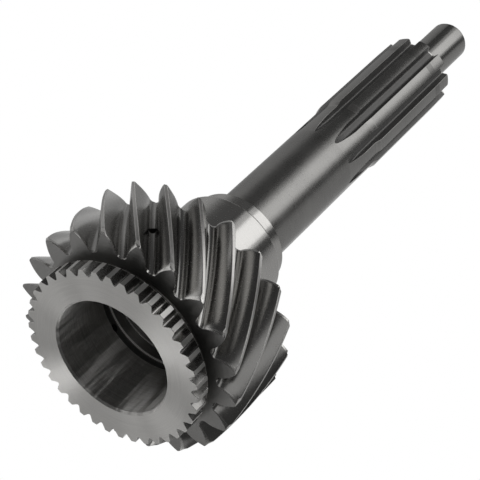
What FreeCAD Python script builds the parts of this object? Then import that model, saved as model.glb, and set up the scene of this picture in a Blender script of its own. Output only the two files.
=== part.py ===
import FreeCAD, Part
import math
import os

Vector = FreeCAD.Vector
up = Vector(0, 0, 1)
origin = Vector(0, 0, 0)

# Input shaft, in millimetres, turned, hobbed and drilled from one piece of steel.
# The axis is +Z, the end face of the dog ring lies on z = 0 and the pilot is at the top.

# dog ring
dog_count = 39
dog_tip_radius = 31.72
dog_tooth_depth = 2.31
dog_tooth_length = 5.48
dog_land_width = 1.67
dog_gap_floor_width = 0.62
dog_gap_overrun = 0.36
dog_back_length = 2.72
dog_back_angle = 45.0

# pocket bore with its undercut
bore_radius = 20.28
bore_mouth_chamfer = 0.70
bore_land_length = 23.40
undercut_width = 2.70
undercut_depth = 0.80
undercut_edge = 0.20
bore_rear_length = 4.30
bore_point_angle = 118.0

# helical gear, left-hand
tooth_count = 20
normal_module = 3.05
normal_pressure_angle = 22.5
helix_angle = 36.3
addendum_in_modules = 0.937
dedendum_in_modules = 1.555
tooth_share_of_pitch = 0.44
tooth_root_fillet = 1.55
gear_face_width = 30.70
front_taper_length = 2.00
front_taper_depth = 0.50
rear_edge_chamfer = 0.60

# bearing journal, and the narrow seat between it and the shank
journal_length = 26.10
journal_step = 2.70
seat_length = 4.10
seat_edge_chamfer = 0.30
seat_height = 4.08

# plain shank
shank_radius = 13.52
shank_length = 71.10
shank_root_fillet = 2.00

# spline with straight-sided teeth
spline_count = 10
spline_rise = 0.77
spline_depth = 2.72
spline_tooth_width = 4.40
spline_root_fillet = 0.80
spline_phase = -4.8
spline_ramp_length = 3.10
spline_length = 52.50
spline_end_chamfer = 0.50
run_out_lead = 7.30
hob_radius = 35.00

# pilot and the centre hole in its end
pilot_radius = 7.485
pilot_length = 28.40
pilot_end_chamfer = 0.90
centre_mouth_radius = 1.90
centre_drill_radius = 0.80
centre_drill_depth = 4.50
centre_cone_angle = 60.0

# oil holes, each from the floor of a tooth space into the undercut of the bore
oil_hole_radius = 1.30
oil_hole_from_land = 1.00
oil_hole_spaces = (7, 14)

# room that every cutting shape takes beyond the metal it cuts
cut_margin = 1.50

# a gear flank is drawn with straight chords between points of the involute,
# and so is each side of the point in which a spline gap runs out
flank_chords = 3
helix_sections = 5
run_out_chords = 3

# heights along the axis, each step standing on the one before
gear_front = dog_tooth_length + dog_back_length
gear_rear = gear_front + gear_face_width
journal_end = gear_rear + journal_length
seat_start = journal_end + journal_step
seat_end = seat_start + seat_length
ramp_start = seat_end + shank_length
spline_start = ramp_start + spline_ramp_length
spline_end = spline_start + spline_length
pilot_end = spline_end + pilot_length
undercut_start = bore_land_length
undercut_end = undercut_start + undercut_width
bore_depth = undercut_end + bore_rear_length

# radii that follow from the steps
dog_root_radius = dog_tip_radius - dog_tooth_depth
seat_radius = shank_radius + seat_height
journal_radius = seat_radius + journal_step
spline_major_radius = shank_radius + spline_rise
spline_root_radius = spline_major_radius - spline_depth

# transverse sizes of the helical gear
helix = math.radians(helix_angle)
pitch_radius = tooth_count * normal_module / (2 * math.cos(helix))
gear_tip_radius = pitch_radius + addendum_in_modules * normal_module
gear_root_radius = pitch_radius - dedendum_in_modules * normal_module
transverse_pressure = math.atan(math.tan(math.radians(normal_pressure_angle)) / math.cos(helix))
base_radius = pitch_radius * math.cos(transverse_pressure)
twist_per_length = -math.tan(helix) / pitch_radius


def polar(radius, angle, z=0.0):
    return Vector(radius * math.cos(angle), radius * math.sin(angle), z)


def mirrored(point):
    return Vector(point.x, -point.y, point.z)


def cone_height(radius, point_angle):
    return radius / math.tan(math.radians(point_angle / 2))


def arc_middle(start, centre, end):
    towards_middle = ((start - centre) + (end - centre)).normalize()
    return centre + towards_middle * (end - centre).Length


class Profile:
    """Half of a turned section: lines and quarter arcs that grow from point to point."""

    def __init__(self, radius, z):
        self.start = Vector(radius, 0, z)
        self.here = self.start
        self.edges = []

    def line(self, radius, z):
        there = Vector(radius, 0, z)
        self.edges.append(Part.makeLine(self.here, there))
        self.here = there

    def quarter(self, radius, z, centre_radius, centre_z):
        there = Vector(radius, 0, z)
        centre = Vector(centre_radius, 0, centre_z)
        middle = arc_middle(self.here, centre, there)
        self.edges.append(Part.Arc(self.here, middle, there).toShape())
        self.here = there

    def turned(self):
        self.edges.append(Part.makeLine(self.here, self.start))
        face = Part.Face(Part.Wire(self.edges))
        return face.revolve(origin, up, 360)


def draw_bore(profile):
    profile.line(bore_radius, bore_depth)
    profile.line(bore_radius, undercut_end + undercut_edge)
    profile.line(bore_radius + undercut_edge, undercut_end)
    profile.line(bore_radius + undercut_depth, undercut_end)
    profile.line(bore_radius + undercut_depth, undercut_start)
    profile.line(bore_radius, undercut_start)
    profile.line(bore_radius, bore_mouth_chamfer)
    profile.line(bore_radius + bore_mouth_chamfer, 0)


def draw_dog_ring_and_gear(profile):
    neck_radius = dog_tip_radius - dog_back_length * math.tan(math.radians(dog_back_angle))
    profile.line(dog_tip_radius, 0)
    profile.line(dog_tip_radius, dog_tooth_length)
    profile.line(neck_radius, gear_front)
    profile.line(gear_tip_radius - front_taper_depth, gear_front)
    profile.line(gear_tip_radius, gear_front + front_taper_length)
    profile.line(gear_tip_radius, gear_rear - rear_edge_chamfer)
    profile.line(gear_tip_radius - rear_edge_chamfer, gear_rear)


def draw_centre_hole(profile):
    cone_depth = cone_height(centre_mouth_radius - centre_drill_radius, centre_cone_angle)
    drill_point = cone_height(centre_drill_radius, bore_point_angle)
    profile.line(centre_mouth_radius, pilot_end)
    profile.line(centre_drill_radius, pilot_end - cone_depth)
    profile.line(centre_drill_radius, pilot_end - centre_drill_depth + drill_point)
    profile.line(0, pilot_end - centre_drill_depth)


def make_blank():
    profile = Profile(0, bore_depth + cone_height(bore_radius, bore_point_angle))
    draw_bore(profile)
    draw_dog_ring_and_gear(profile)
    profile.line(journal_radius, gear_rear)
    profile.line(journal_radius, journal_end)
    profile.line(seat_radius, seat_start)
    profile.line(seat_radius, seat_end - seat_edge_chamfer)
    profile.line(seat_radius - seat_edge_chamfer, seat_end)
    profile.line(shank_radius + shank_root_fillet, seat_end)
    profile.quarter(shank_radius, seat_end + shank_root_fillet,
                    shank_radius + shank_root_fillet, seat_end + shank_root_fillet)
    profile.line(shank_radius, ramp_start)
    profile.line(spline_major_radius, spline_start)
    profile.line(spline_major_radius, spline_end - spline_end_chamfer)
    profile.line(spline_major_radius - spline_end_chamfer, spline_end)
    profile.line(pilot_radius, spline_end)
    profile.line(pilot_radius, pilot_end - pilot_end_chamfer)
    profile.line(pilot_radius - pilot_end_chamfer, pilot_end)
    draw_centre_hole(profile)
    return profile.turned()


def involute(angle):
    return math.tan(angle) - angle


def half_space_angle(radius):
    """Half the angle that the gap between two gear teeth opens at a radius."""
    pitch_angle = 2 * math.pi / tooth_count
    half_tooth = tooth_share_of_pitch * pitch_angle / 2
    pressure = math.acos(min(1.0, base_radius / radius))
    return pitch_angle / 2 - half_tooth - involute(transverse_pressure) + involute(pressure)


def tooth_space_section(z):
    """The outline of the gap between two gear teeth at height z, turned by the helix."""
    fillet_centre_radius = gear_root_radius + tooth_root_fillet
    flank_start = math.sqrt(fillet_centre_radius ** 2 - tooth_root_fillet ** 2)
    flank_length = gear_tip_radius + cut_margin - flank_start
    centre_angle = half_space_angle(flank_start) - math.asin(tooth_root_fillet / fillet_centre_radius)
    foot = polar(gear_root_radius, centre_angle, z)
    side = [foot]
    for i in range(flank_chords + 1):
        radius = flank_start + flank_length * i / flank_chords
        side.append(polar(radius, half_space_angle(radius), z))
    centre = polar(fillet_centre_radius, centre_angle, z)
    side.insert(1, arc_middle(foot, centre, side[1]))
    section = Part.makePolygon(side + [mirrored(point) for point in reversed(side)] + [foot])
    section.rotate(origin, up, math.degrees(twist_per_length * (z - gear_front)))
    return section


def make_tooth_space():
    first = gear_front - cut_margin
    length = gear_face_width + 2 * cut_margin
    heights = [first + length * i / (helix_sections - 1) for i in range(helix_sections)]
    return Part.makeLoft([tooth_space_section(z) for z in heights], True, False)


def make_dog_gap():
    """A V between two dog teeth, with a narrow flat floor, open to the front."""
    pitch = 2 * math.pi * dog_tip_radius / dog_count
    floor_half = dog_gap_floor_width / 2
    mouth_half = (pitch - dog_land_width) / 2
    slope = (mouth_half - floor_half) / dog_tooth_depth
    low = Vector(dog_root_radius, floor_half, -cut_margin)
    high = Vector(dog_tip_radius + cut_margin, mouth_half + slope * cut_margin, -cut_margin)
    section = Part.makePolygon([low, high, mirrored(high), mirrored(low), low])
    return Part.Face(section).extrude(up * (cut_margin + dog_tooth_length + dog_gap_overrun))


def spline_gap_face(z):
    """The gap between two spline teeth, its sides parallel to each tooth's middle plane."""
    half_pitch = math.pi / spline_count
    side_room = spline_root_radius * math.sin(half_pitch) - spline_tooth_width / 2
    largest_fillet = side_room / (1 - math.sin(half_pitch))
    fillet = min(spline_root_fillet, largest_fillet)
    outside = spline_major_radius + cut_margin
    centre_radius = spline_root_radius + fillet
    centre_angle = half_pitch - math.asin((spline_tooth_width / 2 + fillet) / centre_radius)
    top_angle = half_pitch - math.asin(spline_tooth_width / 2 / outside)
    centre = polar(centre_radius, centre_angle, z)
    foot = polar(spline_root_radius, centre_angle, z)
    side_foot = centre + polar(fillet, half_pitch + math.pi / 2)
    top = polar(outside, top_angle, z)
    section = Part.Wire([
        Part.Arc(mirrored(foot), Vector(spline_root_radius, 0, z), foot).toShape(),
        Part.makePolygon([foot, arc_middle(foot, centre, side_foot), side_foot, top, mirrored(top),
                          mirrored(side_foot), mirrored(arc_middle(foot, centre, side_foot)),
                          mirrored(foot)])])
    return Part.Face(section)


def make_run_out_outline(full_depth_start):
    """Seen from outside, the end of a spline gap: a parabola that comes to a point on the shank."""
    mouth_angle = math.pi / spline_count - math.asin(spline_tooth_width / 2 / shank_radius)
    mouth_half = shank_radius * math.sin(mouth_angle)
    depth = shank_radius - spline_root_radius
    length = math.sqrt(hob_radius ** 2 - (hob_radius - depth) ** 2)
    inside = spline_root_radius - cut_margin
    side = []
    for i in range(run_out_chords + 1):
        share = i / run_out_chords
        side.append(Vector(inside, mouth_half * share, full_depth_start - length * (1 - share ** 2)))
    section = Part.makePolygon(side + [mirrored(point) for point in reversed(side)])
    return Part.Face(section).extrude(Vector(spline_depth + 2 * cut_margin, 0, 0))


def make_spline_gap():
    """A straight gap that rises out of the shank along the round of the hob."""
    full_depth_start = ramp_start - run_out_lead
    face = spline_gap_face(full_depth_start)
    straight = face.extrude(up * (spline_end + cut_margin - full_depth_start))
    hob_centre = Vector(spline_root_radius + hob_radius, 0, full_depth_start)
    way_out = math.acos(1 - (spline_depth + cut_margin) / hob_radius)
    run_out = face.revolve(hob_centre, Vector(0, -1, 0), math.degrees(way_out))
    run_out = run_out.common(make_run_out_outline(full_depth_start))
    return straight.fuse(run_out).removeSplitter()


def make_oil_hole():
    height = undercut_start + oil_hole_from_land
    inside = bore_radius - cut_margin
    length = gear_tip_radius + cut_margin - inside
    hole = Part.makeCylinder(oil_hole_radius, length, Vector(inside, 0, height), Vector(1, 0, 0))
    hole.rotate(origin, up, math.degrees(twist_per_length * (height - gear_front)))
    return hole


def around(shape, places, pitch, start=0.0):
    copies = []
    for place in places:
        copy = shape.copy()
        copy.rotate(origin, up, start + place * pitch)
        copies.append(copy)
    return copies


def make_shaft():
    dog_pitch = 360 / dog_count
    gear_pitch = 360 / tooth_count
    spline_pitch = 360 / spline_count
    first_spline_gap = spline_phase + spline_pitch / 2
    shaft = make_blank()
    shaft = shaft.cut(around(make_dog_gap(), range(dog_count), dog_pitch))
    shaft = shaft.cut(around(make_tooth_space(), range(tooth_count), gear_pitch))
    shaft = shaft.cut(around(make_spline_gap(), range(spline_count), spline_pitch, first_spline_gap))
    shaft = shaft.cut(around(make_oil_hole(), oil_hole_spaces, gear_pitch))
    return shaft.Solids[0]


os.makedirs("parts", exist_ok=True)
input_shaft = make_shaft()
input_shaft.exportStep("parts/input_shaft.step")
print("input_shaft", input_shaft.ShapeType, "valid", input_shaft.isValid(),
      "volume", round(input_shaft.Volume), input_shaft.BoundBox)
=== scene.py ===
import math

import bmesh
import bpy
from mathutils import Matrix, Vector


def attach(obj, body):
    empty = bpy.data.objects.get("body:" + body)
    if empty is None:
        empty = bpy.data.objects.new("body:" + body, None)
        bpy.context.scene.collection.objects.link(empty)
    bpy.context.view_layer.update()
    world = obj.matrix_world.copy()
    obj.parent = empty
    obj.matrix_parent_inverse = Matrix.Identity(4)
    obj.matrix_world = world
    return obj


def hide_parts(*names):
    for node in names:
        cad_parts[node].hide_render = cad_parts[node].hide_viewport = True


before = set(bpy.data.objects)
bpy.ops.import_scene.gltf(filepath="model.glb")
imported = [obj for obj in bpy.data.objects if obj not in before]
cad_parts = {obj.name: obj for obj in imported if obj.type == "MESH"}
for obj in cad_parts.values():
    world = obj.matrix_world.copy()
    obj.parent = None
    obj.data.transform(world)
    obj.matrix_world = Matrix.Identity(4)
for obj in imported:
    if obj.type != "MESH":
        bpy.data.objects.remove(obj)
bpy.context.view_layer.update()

# sizes of the shaft are in millimetres and angles in degrees; the skin turns to metres when it is built
toMetres = 0.001
fullTurn = 2 * math.pi
weldDistance = 2e-6  # metres
leastEdge = 1e-6  # metres
leastLength = 1e-9  # millimetres
landFaces = 2  # faces round each half of a tooth's land


class Skin:
    # the shaft's surface, grown ring by ring

    def __init__(self):
        self.points = []
        self.angles = []
        self.faces = []
        self.finishes = []

    def add(self, points):
        first = len(self.points)
        self.points += points
        return list(range(first, len(self.points)))

    def ring(self, polarPoints):
        self.angles += [angle for _, angle, _ in polarPoints]
        return self.add([(radius * math.cos(angle), radius * math.sin(angle), z)
                         for radius, angle, z in polarPoints])

    def circle(self, radius, z, segments):
        return self.ring([(radius, fullTurn * i / segments, z) for i in range(segments)])

    def face(self, corners, finish):
        self.faces.append(corners)
        self.finishes.append(finish)

    def bridge(self, lower, upper, finish):
        for i in range(len(lower)):
            j = (i + 1) % len(lower)
            self.face((lower[i], lower[j], upper[j], upper[i]), finish)
        return upper

    def zip(self, inner, outer, finish):
        # closes a flat ring between two outlines with unlike counts of points
        base = self.angles[inner[0]]

        def fromBase(point):
            return (self.angles[point] - base) % fullTurn

        outer = sorted(outer, key=fromBase)
        innerTurns = [fromBase(point) for point in inner] + [fullTurn]
        outerTurns = [fromBase(point) for point in outer] + [fullTurn + fromBase(outer[0])]
        i = j = 0
        while i < len(inner) or j < len(outer):
            insideNext = inner[(i + 1) % len(inner)]
            outsideNext = outer[(j + 1) % len(outer)]
            inside = inner[i % len(inner)]
            outside = outer[j % len(outer)]
            if j == len(outer) or (i < len(inner) and innerTurns[i + 1] <= outerTurns[j + 1]):
                self.face((inside, insideNext, outside), finish)
                i += 1
            else:
                self.face((inside, outsideNext, outside), finish)
                j += 1

    def lathe(self, start, profile, finish):
        # turns a line of (radius, z) points on from a ring, keeping that ring's angles
        angles = [self.angles[point] for point in start]
        here = start
        for radius, z in profile:
            here = self.bridge(here, self.ring([(radius, angle, z) for angle in angles]), finish)
        return here

    def fan(self, ring, z, finish):
        tip = self.ring([(0, 0, z)])[0]
        for i in range(len(ring)):
            self.face((ring[i], ring[(i + 1) % len(ring)], tip), finish)

    def build(self, name, finishNames):
        mesh = bpy.data.meshes.new(name)
        mesh.from_pydata([Vector(point) * toMetres for point in self.points], [], self.faces)
        for polygon, finish in zip(mesh.polygons, self.finishes):
            polygon.material_index = finishNames.index(finish)
        work = bmesh.new()
        work.from_mesh(mesh)
        bmesh.ops.remove_doubles(work, verts=work.verts, dist=weldDistance)
        bmesh.ops.dissolve_degenerate(work, edges=work.edges, dist=leastEdge)
        bmesh.ops.recalc_face_normals(work, faces=work.faces)
        openEdges = sum(1 for edge in work.edges if len(edge.link_faces) != 2)
        volume = work.calc_volume() / toMetres ** 3
        print(name, "has", len(work.faces), "faces,", openEdges, "open edges, cubic millimetres:", volume)
        work.to_mesh(mesh)
        work.free()
        return mesh


def polar(radius, angle):
    return Vector((radius * math.cos(angle), radius * math.sin(angle)))


def arcPoints(centreRadius, centreZ, size, startAngle, endAngle, steps):
    # points of a fillet in the turned section, the first one left out
    found = []
    for i in range(1, steps + 1):
        angle = math.radians(startAngle + (endAngle - startAngle) * i / steps)
        found.append((centreRadius + size * math.cos(angle), centreZ + size * math.sin(angle)))
    return found


def evenly(low, high, steps):
    return [low + (high - low) * i / steps for i in range(steps + 1)]


def around(side, teeth, z, turn=0.0):
    # repeats a half pitch, from gap to tooth, all the way round
    pitchAngle = fullTurn / teeth
    points = []
    for k in range(teeth):
        start = k * pitchAngle + turn
        points += [(radius, start + angle, z) for radius, angle in side]
        points += [(radius, start + pitchAngle - angle, z) for radius, angle in reversed(side[1:-1])]
    return points


# dog ring

# bevelDepth, bevelAcross, bevelFloor and bevelFlank are shares of faceBevel, cornerShares of cornerRound
dogRing = {
    "teeth": 39, "tipRadius": 31.72, "rootRadius": 29.41, "toothEnd": 5.48, "gapEnd": 5.84,
    "landWidth": 1.67, "floorWidth": 0.62, "cornerRound": 0.12, "floorRound": 0.08,
    "floorShares": (0.55, 0.9), "flankFoot": 0.2, "flankShares": (0.12, 0.4, 0.7, 1.0),
    "cornerShares": ((0.3, 0.15), (0.0, 0.6)), "bandEnds": (1.6, 3.4),
    "faceBevel": 0.08, "bevelDepth": 0.8, "bevelAcross": 0.5, "bevelFloor": 0.6, "bevelFlank": 0.3,
    "backWear": 0.16, "backFillet": 0.5, "coneBands": 3, "filletSteps": 4,
}


def dogSide(inset=0.0):
    # from the middle of a gap to the middle of a land, as (radius, angle)
    # an inset opens the gap for a bevel
    pitchAngle = fullTurn / dogRing["teeth"]
    depth = dogRing["tipRadius"] - dogRing["rootRadius"]
    floorHalf = dogRing["floorWidth"] / 2 + inset * dogRing["bevelAcross"]
    mouthHalf = (pitchAngle * dogRing["tipRadius"] - dogRing["landWidth"]) / 2 + inset
    slope = (mouthHalf - floorHalf) / depth
    size = dogRing["cornerRound"]
    foot = dogRing["flankFoot"]
    floor = dogRing["rootRadius"] - inset * dogRing["bevelFloor"]
    tip = dogRing["tipRadius"] - inset
    inner, outer = dogRing["floorShares"]
    side = [(floor, 0.0), (floor, floorHalf * inner), (floor + dogRing["floorRound"], floorHalf * outer)]
    for share in dogRing["flankShares"]:
        rise = foot + (depth - size - foot) * share
        reach = dogRing["rootRadius"] + rise - inset * dogRing["bevelFlank"]
        side.append((reach, floorHalf + slope * rise))
    for down, across in dogRing["cornerShares"]:
        side.append((tip - size * down, mouthHalf + size * across))
    found = [(math.hypot(x, y), math.atan2(y, x)) for x, y in side]
    landStart = found[-1][1]
    found[-1] = (tip, landStart)
    found.append((tip, (landStart + pitchAngle / 2) / 2))
    found.append((tip, pitchAngle / 2))
    return found


def growDogBand(skin, lower, side, z, land="dogLand"):
    # the lands are turned, the gaps between them are as the shaper left them; the middle of each gap's
    # floor takes the lighter land finish as a painted highlight
    upper = skin.ring(around(side, dogRing["teeth"], z))
    perTooth = 2 * (len(side) - 1)
    for i in range(len(lower)):
        fromLand = abs(i % perTooth - perTooth // 2 + 0.5)
        j = (i + 1) % len(lower)
        floorGlint = fromLand > perTooth // 2 - 1
        finish = land if fromLand < landFaces else "dogLand" if floorGlint else "dogSteel"
        skin.face((lower[i], lower[j], upper[j], upper[i]), finish)
    return upper


def growDogRing(skin, mouth):
    # from the bore's edge in the face, over the teeth and down the back cone, to the gear's front face
    teeth = dogRing["teeth"]
    side = dogSide()
    bevel = dogRing["faceBevel"]
    wear = dogRing["backWear"]
    gapEnd = dogRing["gapEnd"]
    wallRadius = dogRing["tipRadius"] - (gapEnd - dogRing["toothEnd"])
    here = skin.ring(around(dogSide(bevel), teeth, 0.0))
    skin.zip(mouth, here, "groundFace")
    here = skin.bridge(here, skin.ring(around(side, teeth, bevel * dogRing["bevelDepth"])), "wornEdge")
    for z in dogRing["bandEnds"] + (dogRing["toothEnd"] - wear,):
        here = growDogBand(skin, here, side, z)
    # the ends of the teeth and the rim of the back cone take the brightest finish: worn edges with a
    # painted highlight
    here = growDogBand(skin, here, side, dogRing["toothEnd"], "wornEdgeAndGlint")
    back = [(min(radius, wallRadius), angle) for radius, angle in side]
    here = growDogBand(skin, here, back, gapEnd, "wornEdgeAndGlint")
    wall = [(max(radius, wallRadius - wear), angle) for radius, angle in back]
    here = skin.bridge(here, skin.ring(around(wall, teeth, gapEnd)), "dogSteel")
    rim = [(wallRadius, angle) for radius, angle in side]
    here = skin.bridge(here, skin.ring(around(rim, teeth, gapEnd)), "wornEdgeAndGlint")
    fillet = dogRing["backFillet"]
    diagonal = math.sqrt(0.5)
    coneEnd = gear["front"] - fillet * (1 - diagonal)
    neck = wallRadius - (coneEnd - gapEnd)
    cone = [(wallRadius - (z - gapEnd), z) for z in evenly(gapEnd, coneEnd, dogRing["coneBands"])[1:]]
    corner = arcPoints(neck + fillet * diagonal, gear["front"] - fillet, fillet, 135, 90,
                       dogRing["filletSteps"])
    return skin.lathe(here, cone + corner, "dogSteel")


# helical gear

gear = {
    "teeth": 20, "normalModule": 3.05, "pressureAngle": 22.5, "helixAngle": 36.3,
    "tipRadius": 40.70, "rootRadius": 33.10, "rootFillet": 1.55, "toothShare": 0.44,
    "front": 8.20, "rear": 38.90, "taperLength": 2.00, "taperDepth": 0.50, "rearChamfer": 0.60,
    "tipEdge": 0.10, "tipRelief": 0.44, "reliefDepth": 5.5,
    "acuteBevel": (0.34, 0.36), "obtuseBevel": (0.14, 0.50), "bevelDepth": 1.9,
    "flankPoints": 12, "flankCrowding": 1.4, "filletPoints": 5, "rings": 22, "rearBand": 0.8,
}
noBevel = (0.0, 0.0)

helix = math.radians(gear["helixAngle"])
pitchRadius = gear["teeth"] * gear["normalModule"] / (2 * math.cos(helix))
workingPressure = math.atan(math.tan(math.radians(gear["pressureAngle"])) / math.cos(helix))
baseRadius = pitchRadius * math.cos(workingPressure)
twistPerLength = -math.tan(helix) / pitchRadius
gearPitch = fullTurn / gear["teeth"]


def involute(angle):
    return math.tan(angle) - angle


def halfSpace(radius):
    # half the angle that the space between two teeth takes at a radius
    halfTooth = gear["toothShare"] * gearPitch / 2
    pressure = math.acos(min(1.0, baseRadius / radius))
    return gearPitch / 2 - halfTooth - involute(workingPressure) + involute(pressure)


def twist(z):
    return twistPerLength * (z - gear["front"])


def gearTip(z):
    fromFront = (z - gear["front"]) / gear["taperLength"]
    fromRear = gear["rear"] - z
    tip = gear["tipRadius"] - gear["taperDepth"] * max(0.0, 1 - fromFront)
    return tip - max(0.0, gear["rearChamfer"] - fromRear)


def tipRelief(radius, tip):
    # the flanks lean in towards the lands, more than the involute does
    share = max(0.0, 1 - (tip - radius) / gear["reliefDepth"])
    return gear["tipRelief"] * share ** 2


def gearSide(tip, bevel):
    # from the middle of a space to the middle of a tooth, as (radius, angle, bevel there)
    low, high = bevel
    size = gear["rootFillet"]
    floor = gear["rootRadius"] - low
    centreRadius = gear["rootRadius"] + size
    flankStart = math.sqrt(centreRadius ** 2 - size ** 2)
    centreAngle = halfSpace(flankStart) - math.asin(size / centreRadius)
    centre = polar(centreRadius, centreAngle)
    start = polar(flankStart, halfSpace(flankStart))
    sideAngle = math.atan2(start.y - centre.y, start.x - centre.x)
    floorAngle = centreAngle + math.pi
    found = [(floor, 0.0, low), (floor, centreAngle / 2, low)]
    for angle in evenly(floorAngle, sideAngle + (fullTurn if sideAngle < 0 else 0), gear["filletPoints"]):
        point = centre + polar(1, angle) * (size + low)
        found.append((point.length, math.atan2(point.y, point.x), low))
    edge = gear["tipEdge"]
    for share in evenly(0, 1, gear["flankPoints"])[1:]:
        # the points crowd together towards the tip
        radius = flankStart + (tip - edge - flankStart) * (1 - (1 - share) ** gear["flankCrowding"])
        cut = low + (high - low) * share
        found.append((radius, halfSpace(radius) + (cut + tipRelief(radius, tip)) / radius, cut))
    corner = halfSpace(tip) + (edge + high + gear["tipRelief"]) / tip
    found.append((tip, corner, high))
    found.append((tip, (corner + gearPitch / 2) / 2, high))
    found.append((tip, gearPitch / 2, high))
    return found


def gearRing(skin, z, bevels=(noBevel, noBevel), inset=False, towards=1):
    # one section of the gear; at an end each side of a space has its own bevel, wider at the sharp edge
    plain = gearSide(gearTip(z), noBevel)
    sides = []
    for bevel in bevels:
        side = []
        for (radius, angle, _), (cutRadius, cutAngle, cut) in zip(plain, gearSide(gearTip(z), bevel)):
            depth = cut * gear["bevelDepth"] * towards
            side.append((cutRadius, cutAngle, 0.0) if inset else (radius, angle, depth))
        sides.append(side)
    points = []
    for k in range(gear["teeth"]):
        start = k * gearPitch
        for radius, angle, depth in sides[0][:-1]:
            points.append((radius, start + angle + twist(z + depth), z + depth))
        radius, angle, depth = sides[0][-1]
        depth = (depth + sides[1][-1][2]) / 2
        points.append((radius, start + angle + twist(z + depth), z + depth))
        for radius, angle, depth in reversed(sides[1][1:-1]):
            points.append((radius, start + gearPitch - angle + twist(z + depth), z + depth))
    return skin.ring(points)


def growGearBand(skin, lower, upper, land="toothLandAndGlint"):
    # the lands over the teeth and their worn edges, both lightened as a painted highlight, and the flanks
    # and floors between them
    perTooth = len(lower) // gear["teeth"]
    sidePoints = perTooth // 2
    for i in range(len(lower)):
        fromLand = abs(i % perTooth - sidePoints + 0.5)
        j = (i + 1) % len(lower)
        onEdge = fromLand < landFaces + 1
        finish = land if fromLand < landFaces else "wornEdgeAndGlint" if onEdge else "gearSteel"
        skin.face((lower[i], lower[j], upper[j], upper[i]), finish)
    return upper


def growGear(skin, neck):
    front, rear = gear["front"], gear["rear"]
    taperEnd = front + gear["taperLength"]
    frontBevels = (gear["obtuseBevel"], gear["acuteBevel"])
    rearBevels = (gear["acuteBevel"], gear["obtuseBevel"])
    here = gearRing(skin, front, frontBevels, inset=True)
    skin.zip(neck, here, "gearFace")
    here = skin.bridge(here, gearRing(skin, front, frontBevels), "wornEdge")
    # the front taper of the teeth takes the brightest finish, a painted highlight
    here = growGearBand(skin, here, gearRing(skin, taperEnd), "wornEdgeAndGlint")
    for z in evenly(taperEnd, rear - 2 * gear["rearBand"], gear["rings"])[1:]:
        here = growGearBand(skin, here, gearRing(skin, z))
    here = growGearBand(skin, here, gearRing(skin, rear - gear["rearBand"]))
    here = growGearBand(skin, here, gearRing(skin, rear, rearBevels, towards=-1))
    return skin.bridge(here, gearRing(skin, rear, rearBevels, inset=True), "wornEdge")


# shank and spline

shank = {"radius": 13.52, "fillet": 2.00, "filletSteps": 8, "bands": 6, "rampStart": 142.90, "rampBands": 3}
spline = {
    "teeth": 10, "radius": 14.29, "rootRadius": 11.57, "toothWidth": 4.40, "rootFillet": 0.80,
    "phase": -4.8, "start": 146.00, "leadIn": 187.50, "leadInDepth": 0.16, "leadInShadeBand": 4.0,
    "end": 198.50, "endChamfer": 0.50, "fullDepth": 135.60, "hobRadius": 35.00,
    "landEdge": 0.10, "mostEdge": 0.25, "wallReach": 1.5,
    "gapPoints": 12, "landPoints": 6, "floorSteps": 6, "filletSteps": 8, "wallSteps": 10,
    "runOutBands": 18, "footBands": 3, "toothBands": 8, "endBands": 3,
    "closingLength": 9.0, "closingShares": (0.15, 0.35, 0.55, 0.75, 0.9, 0.97, 1.0),
}

splinePitch = fullTurn / spline["teeth"]
splineTurn = math.radians(spline["phase"]) + splinePitch / 2
halfRingPoints = spline["gapPoints"] + 2 + spline["landPoints"]


def splineGapShape():
    # half of the gap between two teeth, as flat points (out, across), floor first
    half = splinePitch / 2
    size = spline["rootFillet"]
    width = spline["toothWidth"] / 2
    outside = spline["radius"] + spline["wallReach"]
    centreRadius = spline["rootRadius"] + size
    centreAngle = half - math.asin((width + size) / centreRadius)
    centre = polar(centreRadius, centreAngle)
    floor = evenly(0, centreAngle, spline["floorSteps"])
    points = [polar(1, angle) * spline["rootRadius"] for angle in floor]
    for angle in evenly(centreAngle + math.pi, half + math.pi / 2, spline["filletSteps"])[1:]:
        points.append(centre + polar(1, angle) * size)
    top = polar(1, half - math.asin(width / outside)) * outside
    foot = points[-1]
    points += [foot.lerp(top, share) for share in evenly(0, 1, spline["wallSteps"])[1:]]
    return points


gapShape = splineGapShape()
hobCentre = spline["rootRadius"] + spline["hobRadius"]
runOutDepth = shank["radius"] - spline["rootRadius"]
runOutLength = math.sqrt(spline["hobRadius"] ** 2 - (spline["hobRadius"] - runOutDepth) ** 2)
runOutTip = spline["fullDepth"] - runOutLength
halfGapOnShank = splinePitch / 2 - math.asin(spline["toothWidth"] / 2 / shank["radius"])
runOutMouth = shank["radius"] * math.sin(halfGapOnShank)


def splineOutside(z):
    if z < shank["rampStart"]:
        return shank["radius"]
    if z < spline["start"]:
        share = (z - shank["rampStart"]) / (spline["start"] - shank["rampStart"])
        return shank["radius"] + (spline["radius"] - shank["radius"]) * share
    share = max(0.0, (z - spline["leadIn"]) / (spline["end"] - spline["leadIn"]))
    radius = spline["radius"] - spline["leadInDepth"] * share
    return radius - max(0.0, z - (spline["end"] - spline["endChamfer"]))


def gapAt(z):
    # the gap's half section at a height, lifted by the round of the hob before its full depth
    offset = max(0.0, spline["fullDepth"] - z)
    lifted = []
    for point in gapShape:
        reach = hobCentre - point.x
        lifted.append(Vector((hobCentre - math.sqrt(max(0.0, reach ** 2 - offset ** 2)), point.y)))
    return closedAtSide(clipped(lifted, lambda point: splineOutside(z) - point.length), z)


def clipped(points, room):
    # the line up to where its room runs out
    found = [points[0]]
    for before, after in zip(points, points[1:]):
        if room(after) <= 0:
            share = room(before) / (room(before) - room(after))
            return found + [before.lerp(after, share)]
        found.append(after)
    return found


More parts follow.
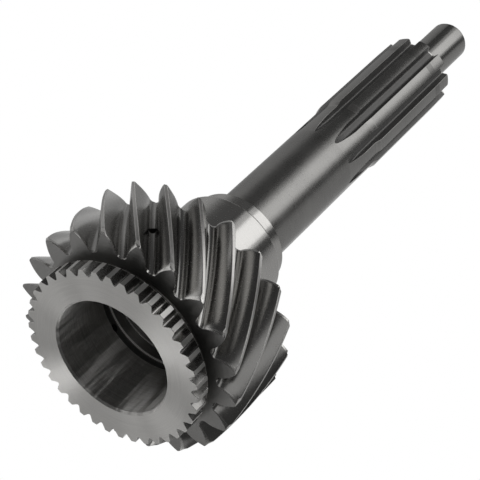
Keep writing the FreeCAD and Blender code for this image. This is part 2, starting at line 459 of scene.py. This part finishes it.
def closedAtSide(points, z):
    # towards its end the gap narrows to a point, along a parabola
    width = runOutMouth * math.sqrt(max(0.0, z - runOutTip) / runOutLength)
    if z >= spline["fullDepth"] or points[-1].y <= width:
        return points
    inside = clipped(points, lambda point: width - point.y)
    return inside + [Vector((math.sqrt(shank["radius"] ** 2 - width ** 2), width))]


def along(points, share):
    # the point at a share of a line's length
    lengths = [(b - a).length for a, b in zip(points, points[1:])]
    left = share * sum(lengths)
    for a, b, length in zip(points, points[1:], lengths):
        if left <= length:
            return a.lerp(b, left / max(length, leastLength))
        left -= length
    return points[-1]


def splineSide(z):
    # from the middle of a gap to the middle of a tooth, as (radius, angle)
    outside = splineOutside(z)
    inside = gapAt(z)
    total = sum((b - a).length for a, b in zip(inside, inside[1:]))
    edge = min(spline["landEdge"], total * spline["mostEdge"])
    gapShare = 1 - edge / total
    side = []
    for share in evenly(0, gapShare, spline["gapPoints"]):
        point = along(inside, share)
        side.append((point.length, math.atan2(point.y, point.x)))
    corner = math.atan2(inside[-1].y, inside[-1].x) + edge / outside
    for angle in evenly(corner, splinePitch / 2, spline["landPoints"]):
        side.append((outside, angle))
    return side


def splineRing(skin, z):
    return skin.ring(around(splineSide(z), spline["teeth"], z, splineTurn))


def closingRing(skin, z, closing):
    # closing runs from 0, a plain round, to 1, every gap shut to a point
    last = halfRingPoints - 1
    shut = spline["gapPoints"] + 1
    side = []
    for i in range(halfRingPoints):
        even = splinePitch / 2 * i / last
        packed = 0.0 if i < shut else splinePitch / 2 * (i - shut) / (last - shut)
        side.append((shank["radius"], even + (packed - even) * closing))
    return skin.ring(around(side, spline["teeth"], z, splineTurn))


def growSplineBand(skin, lower, z, land="splineLand"):
    # gaps, their edges and the lands between take their own finishes
    upper = splineRing(skin, z)
    gap = spline["gapPoints"]
    perPitch = 2 * (halfRingPoints - 1)
    for i in range(len(lower)):
        place = i % perPitch
        fromGap = min(place, perPitch - 1 - place)
        finish = "roughCut" if fromGap < gap else "splineEdgeAndShade" if fromGap == gap else land
        j = (i + 1) % len(lower)
        skin.face((lower[i], lower[j], upper[j], upper[i]), finish)
    return upper


def growShankAndSpline(skin, here):
    radius = shank["radius"]
    start = journal["seatEnd"] + shank["fillet"]
    plainEnd = runOutTip - spline["closingLength"]
    plain = [(radius, z) for z in evenly(start, plainEnd, shank["bands"])[1:]]
    here = skin.lathe(here, plain, "turnedSteel")
    for share in spline["closingShares"]:
        ring = closingRing(skin, plainEnd + spline["closingLength"] * share, share)
        here = skin.bridge(here, ring, "turnedSteel")
    for share in evenly(0, 1, spline["runOutBands"])[1:]:
        here = growSplineBand(skin, here, runOutTip + runOutLength * share ** 2)
    rampStart, rampEnd = shank["rampStart"], spline["start"]
    leadIn = spline["leadIn"]
    heights = evenly(spline["fullDepth"], rampStart, spline["footBands"])[1:]
    heights += evenly(rampStart, rampEnd, shank["rampBands"])[1:]
    heights += evenly(rampEnd, leadIn, spline["toothBands"])[1:]
    heights += evenly(leadIn, spline["end"] - spline["endChamfer"], spline["endBands"])[1:]
    for z in heights:
        # on the ramp the lands take a lighter finish, a painted highlight
        onRamp = rampStart < z <= rampEnd
        # past the lead-in the lands take the darker edge finish, a painted band of shade
        pastLeadInShade = leadIn < z < leadIn + spline["leadInShadeBand"]
        land = "splineEdgeAndShade" if pastLeadInShade else "rampLandHighlight" if onRamp else "splineLand"
        here = growSplineBand(skin, here, z, land)
    return skin.bridge(here, splineRing(skin, spline["end"]), "wornEdge")


# journal and seat

journal = {
    "radius": 20.30, "end": 65.00, "rootFillet": 1.00, "filletSteps": 5, "bands": 6,
    "endEdge": 0.15, "endEdgeIn": 0.4,
    "seatRadius": 17.60, "seatStart": 67.70, "seatEnd": 71.80, "seatEdge": 0.30,
    "seatRootOut": 0.06, "seatRootLength": 0.1,
}


def growJournal(skin, gearBack):
    # the rings here already have the spline's points, so that no seam is needed further up
    radius, fillet, rear = journal["radius"], journal["rootFillet"], gear["rear"]
    last = halfRingPoints - 1
    even = [(radius + fillet, splinePitch / 2 * i / last) for i in range(halfRingPoints)]
    here = skin.ring(around(even, spline["teeth"], rear, splineTurn))
    skin.zip(here, gearBack, "gearFace")
    corner = arcPoints(radius + fillet, rear + fillet, fillet, 270, 180, journal["filletSteps"])
    edge = journal["endEdge"]
    bearing = [(radius, z) for z in evenly(rear + fillet, journal["end"] - edge, journal["bands"])[1:]]
    here = skin.lathe(here, corner + bearing, "groundSteel")
    here = skin.lathe(here, [(radius - edge * journal["endEdgeIn"], journal["end"])], "wornEdge")
    seat, seatStart, seatEnd = journal["seatRadius"], journal["seatStart"], journal["seatEnd"]
    rootLength = journal["seatRootLength"]
    root = [(seat + journal["seatRootOut"], seatStart - rootLength), (seat, seatStart + rootLength)]
    here = skin.lathe(here, root, "turnedSteel")
    edge = journal["seatEdge"]
    here = skin.lathe(here, [(seat, (seatStart + seatEnd) / 2), (seat, seatEnd - edge)], "groundSteel")
    here = skin.lathe(here, [(seat - edge, seatEnd)], "wornEdge")
    fillet = shank["fillet"]
    foot = shank["radius"] + fillet
    corner = arcPoints(foot, seatEnd + fillet, fillet, 270, 180, shank["filletSteps"])
    return skin.lathe(here, [(foot, seatEnd)] + corner, "turnedSteel")


# pilot, with the centre hole in its end

pilot = {
    "radius": 7.485, "end": 226.90, "rootFillet": 0.60, "filletSteps": 5, "bands": 5, "segments": 160,
    "endChamfer": 0.90, "chamferIn": 0.35, "chamferBack": 0.3,
    "centreMouth": 1.90, "centreDrill": 0.80, "centreDepth": 4.50, "centreCone": 60.0,
    "mouthRound": 0.2, "mouthRoundDepth": 0.1, "drillPoint": 0.48,
}


def growPilot(skin, splineEnd):
    radius, end, fillet = pilot["radius"], pilot["end"], pilot["rootFillet"]
    start = spline["end"]
    here = skin.circle(radius + fillet, start, pilot["segments"])
    skin.zip(here, splineEnd, "gearFace")
    corner = arcPoints(radius + fillet, start + fillet, fillet, 270, 180, pilot["filletSteps"])
    chamfer = pilot["endChamfer"]
    body = [(radius, z) for z in evenly(start + fillet, end - chamfer, pilot["bands"])[1:]]
    here = skin.lathe(here, corner + body, "pilotSteel")
    rim = (radius - chamfer * pilot["chamferIn"], end - chamfer * pilot["chamferBack"])
    here = skin.lathe(here, [rim, (radius - chamfer, end)], "turnedSteel")
    mouth, drill = pilot["centreMouth"], pilot["centreDrill"]
    coneDepth = (mouth - drill) / math.tan(math.radians(pilot["centreCone"] / 2))
    bottom = end - pilot["centreDepth"]
    hole = [(mouth + pilot["mouthRound"], end), (mouth, end - pilot["mouthRoundDepth"]),
            (drill, end - coneDepth), (drill, bottom + pilot["drillPoint"])]
    here = skin.lathe(here, hole, "turnedSteel")
    skin.fan(here, bottom, "turnedSteel")


# pocket bore

bore = {
    "radius": 20.28, "mouthChamfer": 0.70, "mouthRound": 0.07, "segments": 240, "bands": 8,
    "undercutStart": 23.40, "undercutEnd": 26.10, "undercutDepth": 0.80, "undercutCorner": 0.2,
    "undercutWear": 0.08, "undercutEdge": 0.45, "depth": 30.40, "pointAngle": 118.0,
    "bottomWear": 0.15, "bottomWearIn": 0.25, "coneShares": (0.2, 0.45, 0.7, 0.9),
}


def growBore(skin):
    # from the dog face's inner edge back to the drill point, returning the edge in the face
    radius, chamfer, soft = bore["radius"], bore["mouthChamfer"], bore["mouthRound"]
    mouth = skin.circle(radius + chamfer, 0.0, bore["segments"])
    here = skin.lathe(mouth, [(radius + soft, chamfer - soft), (radius, chamfer + soft)], "boreSteel")
    start, end = bore["undercutStart"], bore["undercutEnd"]
    wear = bore["undercutWear"]
    wall = [(radius, z) for z in evenly(chamfer + soft, start - wear, bore["bands"])[1:]]
    here = skin.lathe(here, wall, "boreSteel")
    here = skin.lathe(here, [(radius + wear, start)], "wornEdge")
    deep = radius + bore["undercutDepth"]
    corner = bore["undercutCorner"]
    edge = bore["undercutEdge"]
    undercut = [(deep - corner, start), (deep, start + corner), (deep, end - corner), (deep - corner, end),
                (radius + edge, end)]
    here = skin.lathe(here, undercut, "roughCut")
    # the undercut's rear edge takes the brightest finish, a painted glint
    here = skin.lathe(here, [(radius, end + edge)], "wornEdgeAndGlint")
    depth, wear = bore["depth"], bore["bottomWear"]
    # from the undercut to the drill point the bore takes a darker copy of its steel, painted shade deep in
    # the bore
    here = skin.lathe(here, [(radius, depth - wear)], "deepBoreShade")
    here = skin.lathe(here, [(radius - bore["bottomWearIn"], depth + wear)], "wornEdge")
    point = radius / math.tan(math.radians(bore["pointAngle"] / 2))
    cone = [(radius * (1 - share), depth + point * share) for share in bore["coneShares"]]
    here = skin.lathe(here, cone, "deepBoreShade")
    skin.fan(here, depth + point, "deepBoreShade")
    return mouth


# shader maths

class Value:
    # a number, colour or vector that varies over the surface, as a socket in one material
    def __init__(self, tree, socket):
        self.tree = tree
        self.socket = socket

    def output(self, place):
        # another output of the same node
        return Value(self.tree, self.socket.node.outputs[place])

    def feeds(self, socket):
        self.tree.links.new(self.socket, socket)

    def maths(self, operation, *others):
        return self.calculated(operation, (self,) + others)

    def calculated(self, operation, given):
        return Shading(self.tree).node("ShaderNodeMath", {"operation": operation}, dict(enumerate(given)))

    def __add__(self, other):
        return self.maths("ADD", other)

    def __radd__(self, other):
        return self.maths("ADD", other)

    def __sub__(self, other):
        return self.maths("SUBTRACT", other)

    def __rsub__(self, other):
        return self.calculated("SUBTRACT", (other, self))

    def __mul__(self, other):
        return self.maths("MULTIPLY", other)

    def __rmul__(self, other):
        return self.maths("MULTIPLY", other)

    def __truediv__(self, other):
        return self.maths("DIVIDE", other)

    def __rtruediv__(self, other):
        return self.calculated("DIVIDE", (other, self))

    def between(self, low, high):
        # 0 below low, 1 above high, smooth in between
        return Shading(self.tree).node("ShaderNodeMapRange", {"interpolation_type": "SMOOTHSTEP"},
                                       {"Value": self, "From Min": low, "From Max": high})


class Shading:
    # makes nodes in one material's tree
    def __init__(self, tree):
        self.tree = tree

    def node(self, kind, settings=None, sockets=None, output=0):
        node = self.tree.nodes.new(kind)
        for key, given in (settings or {}).items():
            setattr(node, key, given)
        for key, given in (sockets or {}).items():
            if isinstance(given, Value):
                self.tree.links.new(given.socket, node.inputs[key])
            else:
                node.inputs[key].default_value = given
        return Value(self.tree, node.outputs[output])

    def vector(self, operation, first, second=None, scale=None, output=0):
        sockets = {0: first}
        if second is not None:
            sockets[1] = second
        if scale is not None:
            sockets["Scale"] = scale
        return self.node("ShaderNodeVectorMath", {"operation": operation}, sockets, output)

    def combined(self, x, y, z):
        return self.node("ShaderNodeCombineXYZ", sockets={0: x, 1: y, 2: z})

    def mixColours(self, share, first, second):
        # a Mix node keeps its colours in sockets 6 and 7, and gives the mixed one in output 2
        return self.node("ShaderNodeMix", {"data_type": "RGBA"}, {0: share, 6: first, 7: second}, output=2)

    def noise(self, vector, scale, kind):
        detail, rough = noiseKinds[kind]
        return self.node("ShaderNodeTexNoise", {"noise_dimensions": "3D"},
                         {"Vector": vector, "Scale": scale, "Detail": detail, "Roughness": rough})


# how many finer layers each kind of noise has, and how strong they are
noiseKinds = {"marks": (3.0, 0.6), "grain": (4.0, 0.6), "cloud": (2.0, 0.5), "speck": (2.0, 0.5)}
noiseMiddle = 0.5
quarterTurn = 0.25
leastRadius = 0.001  # millimetres; keeps the axis itself from a division by 0


def shaftCoordinates(shading):
    # where a point lies round the axis, its height along it and its radius, in millimetres
    place = shading.node("ShaderNodeTexCoord", output="Object")
    scaled = shading.vector("SCALE", place, scale=1 / toMetres)
    x = shading.node("ShaderNodeSeparateXYZ", sockets={0: scaled})
    y, z = x.output(1), x.output(2)
    radius = (x * x + y * y).maths("SQRT") + leastRadius
    return {"place": scaled, "z": z, "radius": radius, "east": x / radius, "north": y / radius}


def layMarks(shading, at, across, around):
    # fine rings left by turning or grinding: quick change across them, slow change along them
    step = (at["z"] + at["radius"]) * across
    return shading.noise(shading.combined(at["east"] * around, at["north"] * around, step), 1.0, "marks")


def leaningNormal(shading, at, marks, look):
    # the sides of the rings lean to and fro across them
    normal = shading.node("ShaderNodeNewGeometry", output="Normal")
    around = shading.combined(at["north"] * -1.0, at["east"], 0.0)
    across = shading.vector("CROSS_PRODUCT", normal, around)
    aside = shading.vector("SCALE", across, scale=(marks - noiseMiddle) * look["marksTilt"])
    leaning = shading.vector("ADD", normal, aside)
    if look["chatterTilt"]:
        # chatter of the tool leaves shallow waves round the axis
        waves = layMarks(shading, at, look["chatterAcross"], look["chatterAround"])
        sway = shading.vector("SCALE", around, scale=(waves - noiseMiddle) * look["chatterTilt"])
        leaning = shading.vector("ADD", leaning, sway)
    return shading.vector("NORMALIZE", leaning)


def makeFinish(name, look):
    # look holds what a user would change in one steel finish
    material = bpy.data.materials.new(name)
    material.use_nodes = True
    tree = material.node_tree
    shading = Shading(tree)
    surface = tree.nodes["Principled BSDF"].inputs
    at = shaftCoordinates(shading)
    marks = layMarks(shading, at, look["marksPerMm"], look["marksAround"])
    grain = shading.noise(at["place"], look["grainScale"], "grain")
    cloud = shading.noise(at["place"], look["cloudScale"], "cloud")
    speck = shading.noise(at["place"], look["speckScale"], "speck")
    speck = speck.between(look["speckFrom"], look["speckTo"])

    clouds, grains = cloud - noiseMiddle, grain - noiseMiddle
    tone = clouds * look["cloudTone"] + grains * look["grainTone"]
    tone = tone + (marks - noiseMiddle) * look["marksTone"] + 0.5 - speck * look["speckTone"]
    dark, light = (tuple(look[key] * part for part in steelTint) + (1,) for key in ("dark", "light"))
    shading.mixColours(tone.between(0.0, 1.0), dark, light).feeds(surface["Base Color"])
    rough = look["roughness"] + clouds * look["roughSpread"] + grains * look["roughSpread"]
    (rough + speck * look["speckRough"]).feeds(surface["Roughness"])
    surface["Metallic"].default_value = look["metallic"]
    surface["Anisotropic"].default_value = look["stretch"]
    surface["Anisotropic Rotation"].default_value = quarterTurn

    bump = shading.node("ShaderNodeBump", sockets={
        "Strength": look["bump"], "Distance": look["bumpDepth"], "Height": grain * look["grainHeight"],
        "Normal": leaningNormal(shading, at, marks, look)})
    bump.feeds(surface["Normal"])
    return material


steelTint = (1.0, 0.985, 0.955)
plainLook = {
    "dark": 0.16, "light": 0.36, "roughness": 0.30, "roughSpread": 0.12, "metallic": 1.0,
    "stretch": 0.0, "marksPerMm": 5.0, "marksAround": 2.0, "marksTone": 0.3, "marksTilt": 0.0,
    "chatterAcross": 0.02, "chatterAround": 2.5, "chatterTilt": 0.0,
    "grainScale": 2.2, "grainTone": 0.4, "grainHeight": 0.3, "bump": 0.35, "bumpDepth": 0.0001,
    "cloudScale": 0.06, "cloudTone": 0.5,
    "speckScale": 1.9, "speckFrom": 0.66, "speckTo": 0.76, "speckTone": 0.25, "speckRough": 0.12,
}
looks = {
    "groundSteel": {"dark": 0.46, "light": 0.7, "roughness": 0.22, "roughSpread": 0.04,
                    "stretch": 0.8, "marksPerMm": 9.0, "marksTone": 0.8, "marksTilt": 0.12,
                    "grainTone": 0.15, "grainHeight": 0.1, "cloudTone": 0.25, "speckTone": 0.0},
    "groundFace": {"dark": 0.42, "light": 0.72, "roughness": 0.36, "roughSpread": 0.04,
                   "stretch": 1.0, "marksPerMm": 9.0, "marksTone": 0.6, "marksTilt": 0.15,
                   "grainTone": 0.2, "grainHeight": 0.1, "cloudTone": 0.4, "speckTone": 0.0},
    "pilotSteel": {"dark": 0.28, "light": 0.46, "roughness": 0.26, "roughSpread": 0.05,
                   "stretch": 0.8, "marksPerMm": 9.0, "marksTone": 0.8, "marksTilt": 0.12,
                   "grainTone": 0.15, "grainHeight": 0.1, "cloudTone": 0.25, "speckTone": 0.0},
    # turned lands, made lighter and partly diffuse as a painted highlight
    "toothLandAndGlint": {"dark": 0.42, "light": 0.74, "roughness": 0.3, "metallic": 0.75},
    "dogLand": {"dark": 0.50, "light": 0.80, "roughness": 0.42, "stretch": 0.9,
                "marksTilt": 0.1, "metallic": 0.85, "grainTone": 0.2},
    "dogSteel": {"dark": 0.24, "light": 0.48, "roughness": 0.26, "grainTone": 0.2},
    "boreSteel": {"dark": 0.46, "light": 0.80, "roughness": 0.42, "roughSpread": 0.04,
                  "stretch": 1.0, "marksPerMm": 4.0, "marksTone": 1.2, "marksTilt": 0.1,
                  "grainHeight": 0.05, "chatterAround": 4.6, "chatterTilt": 1.5},
    # the bore's steel at about half its tone, painted shade deep in the bore
    "deepBoreShade": {"dark": 0.20, "light": 0.42, "roughness": 0.42, "roughSpread": 0.04,
                 "stretch": 1.0, "marksTone": 0.9, "marksTilt": 0.1, "grainHeight": 0.05},
    "gearSteel": {"dark": 0.25, "light": 0.49, "roughness": 0.225,
                  "marksTone": 0.0, "grainTone": 0.2, "grainHeight": 0.1},
    "gearFace": {"dark": 0.13, "light": 0.28, "roughness": 0.34, "stretch": 0.5,
                 "marksTilt": 0.2, "metallic": 0.85},
    "turnedSteel": {"dark": 0.2, "light": 0.4, "roughness": 0.28, "marksTilt": 0.1},
    "roughCut": {"dark": 0.09, "light": 0.17, "roughness": 0.34, "marksTone": 0.0, "metallic": 0.4},
    "splineLand": {"dark": 0.21, "light": 0.44, "roughness": 0.26, "marksTilt": 0.1},
    # a lighter copy of the spline's land, a painted highlight on the ramp
    "rampLandHighlight": {"dark": 0.27, "light": 0.50, "roughness": 0.32, "marksTilt": 0.1},
    # the gaps' edges, and a painted band of shade on the lands past the lead-in
    "splineEdgeAndShade": {"dark": 0.16, "light": 0.34, "roughness": 0.3},
    "wornEdge": {"dark": 0.4, "light": 0.72, "roughness": 0.26, "grainTone": 0.8},
    # near white and half diffuse: worn edges with a painted highlight on them
    "wornEdgeAndGlint": {"dark": 0.75, "light": 0.98, "roughness": 0.30, "metallic": 0.5, "grainTone": 0.6},
    # near black and not metallic: painted shade on the walls of the oil holes
    "holeShade": {"dark": 0.01, "light": 0.03, "roughness": 0.5, "metallic": 0.0},
}
finishNames = list(looks)


# the piece

oilHole = {
    "radius": 1.30, "height": 24.40, "spaces": (7, 14), "inside": 18.0, "outside": 42.0, "segments": 48,
}
shadingOf = {"sharpAngle": 27, "faceWeight": 50}


def makeShaft():
    skin = Skin()
    mouth = growBore(skin)
    neck = growDogRing(skin, mouth)
    gearBack = growGear(skin, neck)
    shankStart = growJournal(skin, gearBack)
    splineEnd = growShankAndSpline(skin, shankStart)
    growPilot(skin, splineEnd)
    mesh = skin.build("inputShaft", finishNames)
    shaft = bpy.data.objects.new("inputShaft", mesh)
    bpy.context.scene.collection.objects.link(shaft)
    for name in finishNames:
        mesh.materials.append(makeFinish(name, {**plainLook, **looks[name]}))
    print("finishes made:", len(finishNames))
    drillOilHoles(shaft)
    smooth(shaft.data)
    evenShading(shaft)
    return shaft


def drillOilHoles(shaft):
    # each hole runs from a tooth space into the undercut of the bore
    drills = Skin()
    height = oilHole["height"]
    for space in oilHole["spaces"]:
        angle = space * gearPitch + twist(height)
        out = Vector((math.cos(angle), math.sin(angle), 0))
        aside = Vector((-math.sin(angle), math.cos(angle), 0))
        ends = []
        for reach in (oilHole["inside"], oilHole["outside"]):
            centre = out * reach + Vector((0, 0, height))
            points = []
            for i in range(oilHole["segments"]):
                turn = fullTurn * i / oilHole["segments"]
                edge = aside * math.cos(turn) + Vector((0, 0, 1)) * math.sin(turn)
                points.append(tuple(centre + edge * oilHole["radius"]))
            ends.append(drills.add(points))
        # the walls of each hole take a near-black finish, painted shade inside the hole
        drills.bridge(ends[0], ends[1], "holeShade")
        for end in ends:
            drills.face(tuple(end), "holeShade")
    cutter = bpy.data.objects.new("oilDrills", drills.build("oilDrills", finishNames))
    for material in shaft.data.materials:
        cutter.data.materials.append(material)
    bpy.context.scene.collection.objects.link(cutter)
    cut = shaft.modifiers.new("oilHoles", "BOOLEAN")
    cut.operation = "DIFFERENCE"
    cut.solver = "EXACT"
    cut.object = cutter
    graph = bpy.context.evaluated_depsgraph_get()
    drilled = bpy.data.meshes.new_from_object(shaft.evaluated_get(graph))
    shaft.modifiers.clear()
    shaft.data = drilled
    bpy.data.objects.remove(cutter)
    print("oil holes drilled:", len(oilHole["spaces"]))


def smooth(mesh):
    for polygon in mesh.polygons:
        polygon.use_smooth = True
    mesh.set_sharp_from_angle(angle=math.radians(shadingOf["sharpAngle"]))


def evenShading(shaft):
    # flats keep their own shading, and the narrow edges beside them take up the change
    even = shaft.modifiers.new("evenShading", "WEIGHTED_NORMAL")
    even.mode = "FACE_AREA"
    even.weight = shadingOf["faceWeight"]
    even.keep_sharp = True


# studio

# places and sizes are in metres, the lens and the sensor in millimetres
studio = {
    "cameraPlace": (0.0, -0.42258, -0.31571), "lens": 129.383, "sensor": 36, "halfPixel": 0.5 / 480,
    "right": (0.68593285, -0.49308605, 0.53512828), "back": (-0.0016038, -0.73642755, -0.67651452),
    "nearest": 0.01, "furthest": 50, "aim": (0.0, 0.0, 0.1), "ambient": 0.055, "backdrop": 1.0,
    "floorSize": 4.0, "floorDrop": 0.0004, "floorTone": 0.80, "floorRoughness": 0.7,
    "floorGlow": 0.40, "floorFadeStart": 0.3, "floorFadeEnd": 1.1,
}
# azimuth, elevation, distance, width, height, brightness: the azimuth of +X is 0 and of +Y is 90
softboxes = {
    "mainBox": (-87, 35, 1.2, 0.98, 1.7, 0.50),
    "mainCore": (-84, 29, 1.1, 0.60, 1.4, 0.80),
    "mainFoot": (-88, 8, 1.2, 0.50, 0.5, 0.40),
    "rightBox": (22, 36, 1.3, 2.2, 1.5, 0.34),
    "leftBox": (134, 40, 1.3, 1.9, 1.6, 0.25),
    "farLeft": (178, 20, 1.3, 0.80, 1.1, 0.12),
    "sideLeft": (-145, 30, 1.3, 0.70, 1.2, 0.03),
    "backBox": (83, 42, 1.5, 1.1, 1.6, 0.38),
    "backCore": (82, 20, 1.4, 0.45, 0.8, 0.90),
    "topBox": (0, 88, 1.6, 1.4, 1.4, 0.22),
    "backStrip": (93, -16, 1.4, 0.10, 0.6, 6.50),
    "lowFront": (-92, -28, 1.3, 0.66, 0.8, 0.48),
    "lowSide": (-72, -14, 1.3, 0.20, 0.5, 0.60),
    "lowBack": (90, -45, 1.4, 1.00, 1.9, 0.40),
    "lowCore": (98, -50, 1.2, 0.36, 0.5, 0.40),
    "lowLeft": (174, -26, 1.4, 0.80, 0.9, 0.80),
    "lowRight": (18, -26, 1.4, 0.80, 0.8, 0.26),
    "lowBackLeft": (134, -14, 1.3, 0.90, 0.6, 0.90),
    "lowBackRight": (48, -14, 1.3, 0.90, 0.6, 0.90),
}


def makeCamera():
    camera = bpy.data.cameras.new("photoCamera")
    camera.sensor_width = studio["sensor"]
    camera.lens = studio["lens"]
    camera.shift_x = -studio["halfPixel"]
    camera.shift_y = studio["halfPixel"]
    camera.clip_start = studio["nearest"]
    camera.clip_end = studio["furthest"]
    holder = bpy.data.objects.new("photoCamera", camera)
    right = Vector(studio["right"]).normalized()
    back = Vector(studio["back"]).normalized()
    upward = back.cross(right).normalized()
    rows = [(right[i], upward[i], back[i], studio["cameraPlace"][i]) for i in range(3)]
    holder.matrix_world = Matrix(rows + [(0, 0, 0, 1)])
    bpy.context.scene.collection.objects.link(holder)
    bpy.context.scene.camera = holder


def makeSoftboxes():
    aim = Vector(studio["aim"])
    for name, (azimuth, elevation, distance, width, height, brightness) in softboxes.items():
        light = bpy.data.lights.new(name, "AREA")
        light.shape = "RECTANGLE"
        light.size = width
        light.size_y = height
        light.energy = brightness * math.pi * width * height
        holder = bpy.data.objects.new(name, light)
        turn, rise = math.radians(azimuth), math.radians(elevation)
        away = Vector((math.cos(turn) * math.cos(rise), math.sin(turn) * math.cos(rise), math.sin(rise)))
        holder.location = aim + away * distance
        holder.rotation_euler = away.to_track_quat("Z", "Y").to_euler()
        holder.visible_camera = False
        bpy.context.scene.collection.objects.link(holder)


def makeWorld():
    # a white backdrop behind the shaft, which lights it only a little
    world = bpy.data.worlds.new("studio")
    world.use_nodes = True
    bpy.context.scene.world = world
    background = world.node_tree.nodes["Background"].inputs
    seen = Shading(world.node_tree).node("ShaderNodeLightPath", output="Is Camera Ray")
    strength = seen * (studio["backdrop"] - studio["ambient"]) + studio["ambient"]
    background["Color"].default_value = (1, 1, 1, 1)
    strength.feeds(background["Strength"])


def makeFloor():
    # a pale floor that fades out with distance
    # it shows only from above, as the photo is taken from below it
    half = studio["floorSize"] / 2
    corners = [(-half, -half), (half, -half), (half, half), (-half, half)]
    mesh = bpy.data.meshes.new("paleFloor")
    mesh.from_pydata([(x, y, -studio["floorDrop"]) for x, y in corners], [], [(0, 1, 2, 3)])
    floor = bpy.data.objects.new("paleFloor", mesh)
    material = bpy.data.materials.new("paleFloor")
    material.use_nodes = True
    tree = material.node_tree
    shading = Shading(tree)
    surface = tree.nodes["Principled BSDF"]
    tone = studio["floorTone"]
    surface.inputs["Base Color"].default_value = (tone, tone, tone, 1)
    surface.inputs["Roughness"].default_value = studio["floorRoughness"]
    surface.inputs["Emission Color"].default_value = (1, 1, 1, 1)
    surface.inputs["Emission Strength"].default_value = studio["floorGlow"]
    place = shading.node("ShaderNodeTexCoord", output="Object")
    distance = shading.vector("LENGTH", place, output="Value")
    far = distance.between(studio["floorFadeStart"], studio["floorFadeEnd"])
    below = shading.node("ShaderNodeNewGeometry", output="Backfacing")
    clear = shading.node("ShaderNodeBsdfTransparent")
    both = shading.node("ShaderNodeMixShader", sockets={
        0: below.maths("MAXIMUM", far), 1: Value(tree, surface.outputs[0]), 2: clear})
    both.feeds(tree.nodes["Material Output"].inputs["Surface"])
    mesh.materials.append(material)
    floor.visible_shadow = False
    floor.visible_glossy = False
    floor.visible_diffuse = False
    bpy.context.scene.collection.objects.link(floor)


shaft = makeShaft()
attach(shaft, "root")
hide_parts("input_shaft")
print("shaft made")

makeCamera()
makeSoftboxes()
makeWorld()
makeFloor()
bpy.context.scene.view_settings.view_transform = "Standard"
print("studio made")
